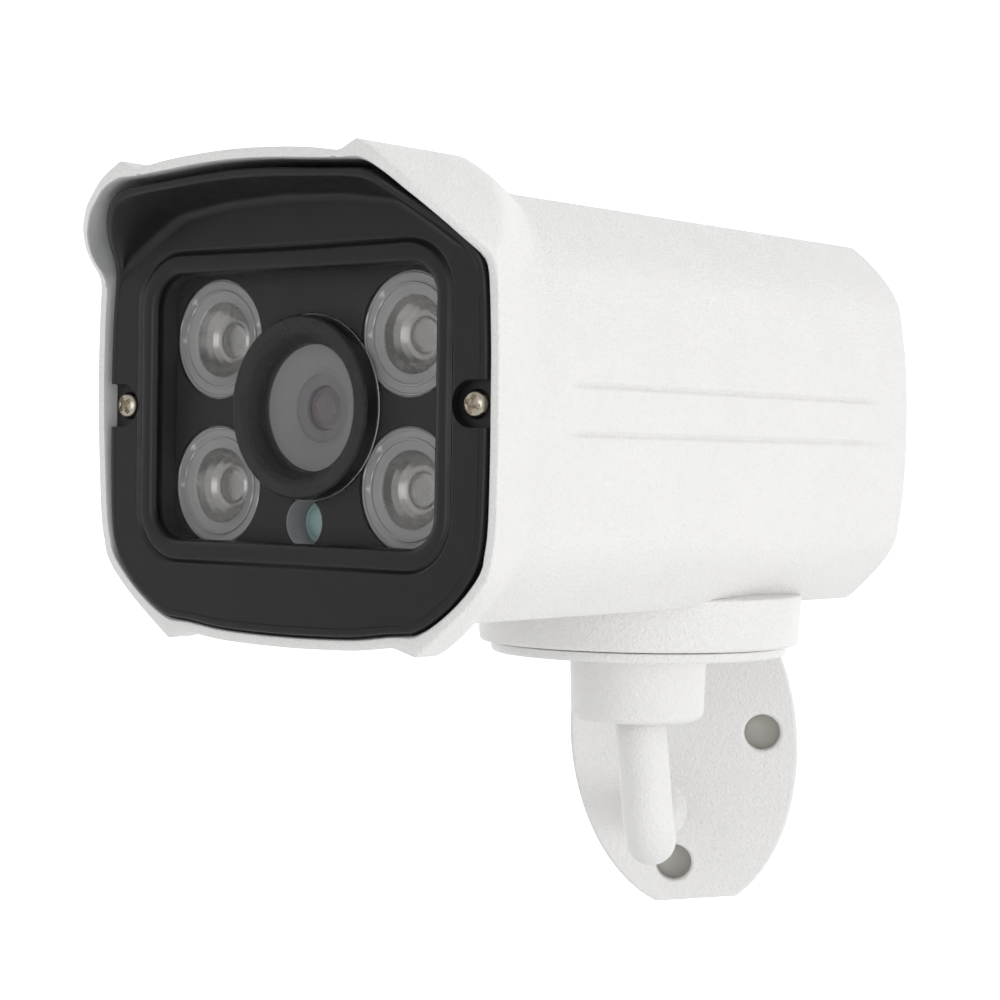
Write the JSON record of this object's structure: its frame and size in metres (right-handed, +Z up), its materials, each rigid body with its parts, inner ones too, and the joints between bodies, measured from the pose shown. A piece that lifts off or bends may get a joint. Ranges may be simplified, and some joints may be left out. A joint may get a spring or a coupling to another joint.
{
  "type": "security camera",
  "caption": "Square-bodied outdoor security camera with a hooded black front, infrared lamps round the lens, and a ball-jointed wall bracket.",
  "frame": {"origin": "centre of the wall plate, on the back of its rubber pad, where it meets the wall", "axes": "+Y into the wall, +Z up, +X to the right when facing the wall; the camera is panned 34 degrees to the left of straight out, as in the picture"},
  "size_m": [0.1312, 0.1513, 0.129],
  "materials": {
    "housing": "fine textured white powder coat",
    "bracket_flange": "fine textured white powder coat",
    "rear_cover": "fine textured white powder coat",
    "wall_bracket": "fine textured white powder coat",
    "front_bezel": "satin black",
    "mask_plate": "satin black",
    "front_gasket": "matte black rubber",
    "window_gasket": "matte black rubber",
    "lens_shroud": "matte black rubber",
    "cable_gland": "matte black rubber",
    "rear_gasket": "matte black rubber",
    "flange_seal": "matte black rubber",
    "wall_pad": "matte grey rubber sheet",
    "front_window": "clear, polished",
    "lens_front_element": "coated optical glass",
    "lens_inner_element": "coated optical glass",
    "ir_filter_glass": "coated filter glass",
    "led_lens_1": "translucent moulded lens",
    "led_lens_2": "translucent moulded lens",
    "led_lens_3": "translucent moulded lens",
    "led_lens_4": "translucent moulded lens",
    "light_sensor": "clear moulded body",
    "led_emitter_1": "LED package",
    "led_emitter_2": "LED package",
    "led_emitter_3": "LED package",
    "led_emitter_4": "LED package",
    "lens_barrel": "black anodised",
    "lens_lock_nut": "turned",
    "standoff_front_1": "turned hexagon",
    "standoff_front_2": "turned hexagon",
    "standoff_front_3": "turned hexagon",
    "standoff_front_4": "turned hexagon",
    "standoff_rear_1": "turned hexagon",
    "standoff_rear_2": "turned hexagon",
    "lens_holder": "black moulded",
    "ir_filter_slide": "black moulded",
    "ir_cut_coil": "varnished winding",
    "image_sensor": "sensor package",
    "led_board": "white solder resist",
    "sensor_board": "green solder resist",
    "main_board": "green solder resist",
    "front_screw_left": "nickel plated",
    "front_screw_right": "nickel plated",
    "rear_screw_1": "nickel plated",
    "rear_screw_2": "nickel plated",
    "rear_screw_3": "nickel plated",
    "rear_screw_4": "nickel plated",
    "flange_screw_1": "nickel plated",
    "flange_screw_2": "nickel plated",
    "flange_screw_3": "nickel plated",
    "board_screw_1": "nickel plated",
    "board_screw_2": "nickel plated",
    "ball_stud": "turned steel",
    "ball_ring_lower": "natural nylon",
    "ball_ring_upper": "natural nylon"
  },
  "bodies": {
    "wall_mount": {"wall_bracket": "wall_bracket", "wall_pad": "wall_pad", "ball_stud": "ball_stud"},
    "pan_ring": {"ball_ring_lower": "ball_ring_lower"},
    "tilt_ring": {"ball_ring_upper": "ball_ring_upper"},
    "camera": {"housing": "housing", "bracket_flange": "bracket_flange", "rear_cover": "rear_cover", "front_bezel": "front_bezel", "mask_plate": "mask_plate", "front_gasket": "front_gasket", "window_gasket": "window_gasket", "lens_shroud": "lens_shroud", "cable_gland": "cable_gland", "rear_gasket": "rear_gasket", "flange_seal": "flange_seal", "front_window": "front_window", "led_lens_1": "led_lens_1", "led_lens_2": "led_lens_2", "led_lens_3": "led_lens_3", "led_lens_4": "led_lens_4", "light_sensor": "light_sensor", "led_emitter_1": "led_emitter_1", "led_emitter_2": "led_emitter_2", "led_emitter_3": "led_emitter_3", "led_emitter_4": "led_emitter_4", "lens_lock_nut": "lens_lock_nut", "standoff_front_1": "standoff_front_1", "standoff_front_2": "standoff_front_2", "standoff_front_3": "standoff_front_3", "standoff_front_4": "standoff_front_4", "standoff_rear_1": "standoff_rear_1", "standoff_rear_2": "standoff_rear_2", "lens_holder": "lens_holder", "ir_cut_coil": "ir_cut_coil", "image_sensor": "image_sensor", "led_board": "led_board", "sensor_board": "sensor_board", "main_board": "main_board", "front_screw_left": "front_screw_left", "front_screw_right": "front_screw_right", "rear_screw_1": "rear_screw_1", "rear_screw_2": "rear_screw_2", "rear_screw_3": "rear_screw_3", "rear_screw_4": "rear_screw_4", "flange_screw_1": "flange_screw_1", "flange_screw_2": "flange_screw_2", "flange_screw_3": "flange_screw_3", "board_screw_1": "board_screw_1", "board_screw_2": "board_screw_2"},
    "lens": {"lens_barrel": "lens_barrel", "lens_front_element": "lens_front_element", "lens_inner_element": "lens_inner_element"},
    "ir_filter": {"ir_filter_slide": "ir_filter_slide", "ir_filter_glass": "ir_filter_glass"}
  },
  "joints": [
    {"name": "pan", "type": "hinge", "parent": "wall_mount", "child": "pan_ring", "pos_m": [-0.00817, -0.05015, 0.01472], "axis": [-0.0906, 0, 0.9959], "range_deg": [-56, 124]},
    {"name": "tilt", "type": "hinge", "parent": "pan_ring", "child": "tilt_ring", "pos_m": [-0.00817, -0.05015, 0.01472], "axis": [0.829, -0.5592, 0], "range_deg": [-7.5, 17.9]},
    {"name": "roll", "type": "hinge", "parent": "tilt_ring", "child": "camera", "pos_m": [-0.00817, -0.05015, 0.01472], "axis": [0.5592, 0.829, 0], "range_deg": [-17.5, 9.6]},
    {"name": "focus", "type": "hinge", "parent": "camera", "child": "lens", "pos_m": [-0.05246, -0.11581, 0.06032], "axis": [0.5592, 0.829, 0], "range_deg": [-180, 180]},
    {"name": "ir_filter_shift", "type": "slide", "parent": "camera", "child": "ir_filter", "axis": [0.829, -0.5592, 0], "range_m": [0, 0.009]}
  ]
}
